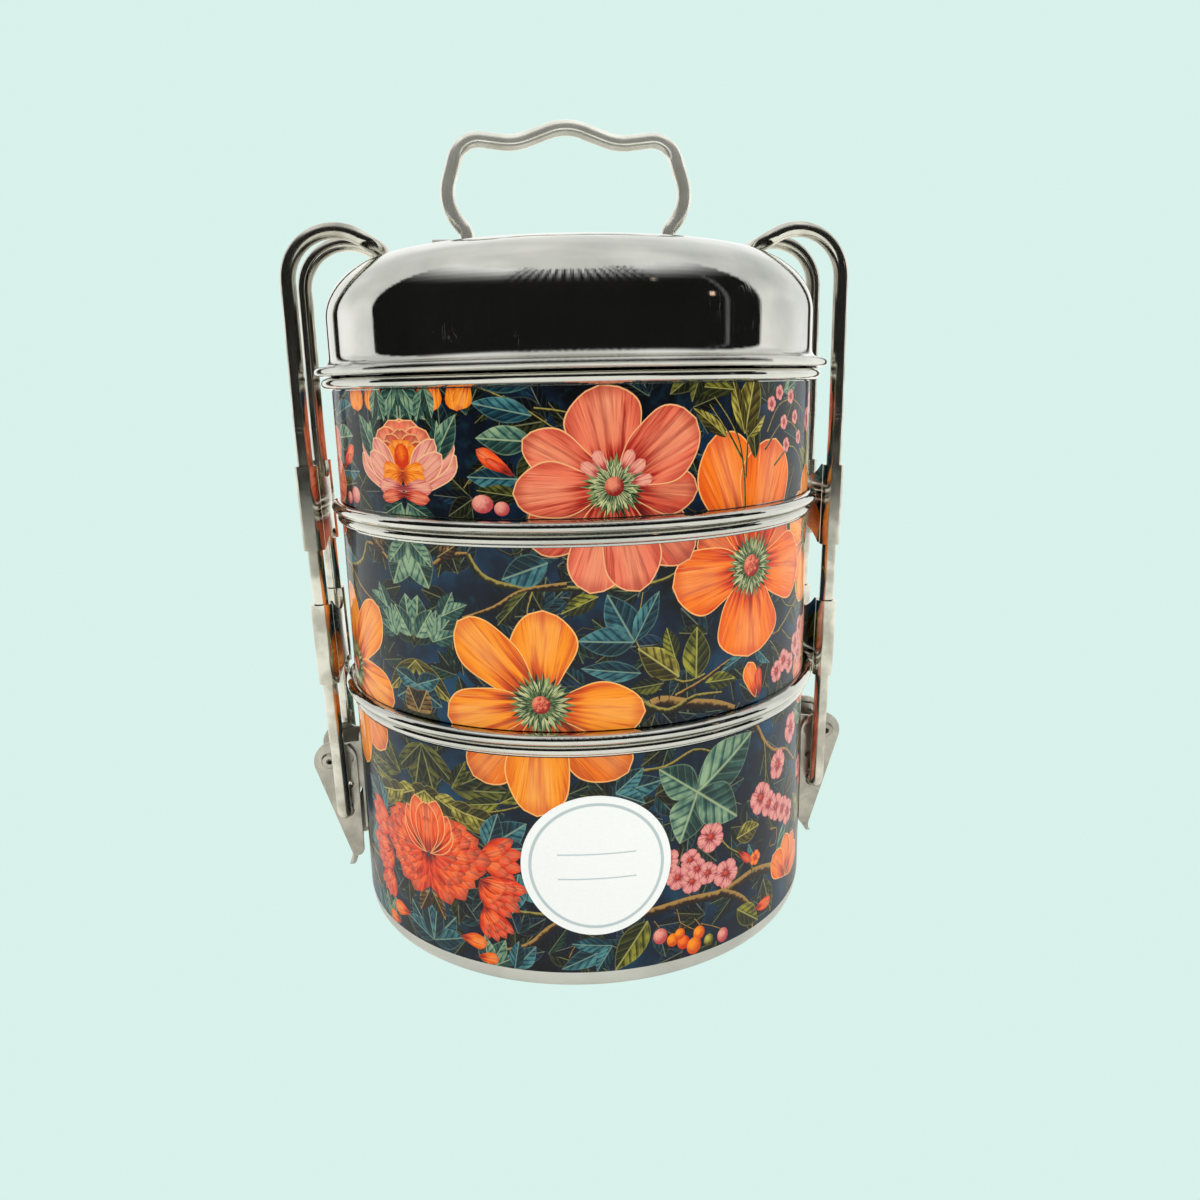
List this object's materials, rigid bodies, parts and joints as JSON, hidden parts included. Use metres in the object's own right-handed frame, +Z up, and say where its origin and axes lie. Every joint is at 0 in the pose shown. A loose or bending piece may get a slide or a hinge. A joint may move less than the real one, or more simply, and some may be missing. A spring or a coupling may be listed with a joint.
{
  "type": "tiffin carrier",
  "caption": "Stacked round steel lunch carrier with printed floral tiers, a domed lid with a folding wire handle, and side levers that clamp the stack with wire loops.",
  "frame": {"origin": "centre of the base circle on the table", "axes": "+Z up along the axis of the tiers, +X towards the right-hand lever, -Y towards the front with the round label"},
  "size_m": [0.1564, 0.1384, 0.214],
  "materials": {
    "steel": "mirror polished stainless steel",
    "satin_steel": "satin pressed steel",
    "wire": "polished steel wire and sheet",
    "film": "glossy printed film, dark ground with large painted flowers",
    "label": "smooth white sticker"
  },
  "bodies": {
    "bottom_tier": {"bottom_container": "steel", "bottom_film": "film", "round_label": "label", "left_latch_bracket": "satin_steel", "right_latch_bracket": "satin_steel", "left_pivot_rivet": "satin_steel", "right_pivot_rivet": "satin_steel"},
    "middle_tier": {"middle_container": "steel", "middle_film": "film"},
    "top_tier": {"top_container": "steel", "top_film": "film"},
    "lid": {"lid_shell": "steel", "left_handle_strap": "satin_steel", "right_handle_strap": "satin_steel"},
    "handle": {"carry_handle": "wire"},
    "left_lever": {"left_lever": "satin_steel"},
    "right_lever": {"right_lever": "satin_steel"},
    "left_loop": {"left_wire_loop": "wire"},
    "right_loop": {"right_wire_loop": "wire"},
    "left_upper_bridge": {"left_upper_bridge": "wire"},
    "left_lower_bridge": {"left_lower_bridge": "wire"},
    "right_upper_bridge": {"right_upper_bridge": "wire"},
    "right_lower_bridge": {"right_lower_bridge": "wire"}
  },
  "joints": [
    {"name": "right_lever_hinge", "type": "hinge", "parent": "bottom_tier", "child": "right_lever", "pos_m": [0.0738, 0, 0.0418], "axis": [0, -1, 0], "range_deg": [0, 110]},
    {"name": "right_loop_hinge", "type": "hinge", "parent": "right_lever", "child": "right_loop", "pos_m": [0.0703, 0, 0.0262], "axis": [0, 1, 0], "range_deg": [0, 190]},
    {"name": "left_lever_hinge", "type": "hinge", "parent": "bottom_tier", "child": "left_lever", "pos_m": [-0.0738, 0, 0.0418], "axis": [0, 1, 0], "range_deg": [0, 110]},
    {"name": "left_loop_hinge", "type": "hinge", "parent": "left_lever", "child": "left_loop", "pos_m": [-0.0703, 0, 0.0262], "axis": [0, -1, 0], "range_deg": [0, 190]},
    {"name": "middle_lift", "type": "slide", "parent": "bottom_tier", "child": "middle_tier", "axis": [0, 0, 1], "range_m": [0, 0.018]},
    {"name": "top_lift", "type": "slide", "parent": "middle_tier", "child": "top_tier", "axis": [0, 0, 1], "range_m": [0, 0.018]},
    {"name": "lid_lift", "type": "slide", "parent": "top_tier", "child": "lid", "axis": [0, 0, 1], "range_m": [0, 0.024]},
    {"name": "handle_fold", "type": "hinge", "parent": "lid", "child": "handle", "pos_m": [0, 0, 0.1815], "axis": [1, 0, 0], "range_deg": [-90, 90]},
    {"name": "left_upper_bridge_slide", "type": "slide", "parent": "left_loop", "child": "left_upper_bridge", "axis": [-0.0209, 0, 0.9998], "range_m": [-0.004, 0.006]},
    {"name": "left_lower_bridge_slide", "type": "slide", "parent": "left_loop", "child": "left_lower_bridge", "axis": [-0.0209, 0, 0.9998], "range_m": [-0.004, 0.006]},
    {"name": "right_upper_bridge_slide", "type": "slide", "parent": "right_loop", "child": "right_upper_bridge", "axis": [0.0209, 0, 0.9998], "range_m": [-0.004, 0.006]},
    {"name": "right_lower_bridge_slide", "type": "slide", "parent": "right_loop", "child": "right_lower_bridge", "axis": [0.0209, 0, 0.9998], "range_m": [-0.004, 0.006]}
  ],
  "couplings": [
    {"joint": "top_lift", "follows": "middle_lift", "ratio": 1},
    {"joint": "lid_lift", "follows": "middle_lift", "ratio": 1.3333},
    {"joint": "right_lever_hinge", "follows": "middle_lift", "rad_per_m": 106.66},
    {"joint": "left_lever_hinge", "follows": "middle_lift", "rad_per_m": 106.66},
    {"joint": "right_loop_hinge", "follows": "middle_lift", "rad_per_m": 184.23},
    {"joint": "left_loop_hinge", "follows": "middle_lift", "rad_per_m": 184.23}
  ]
}
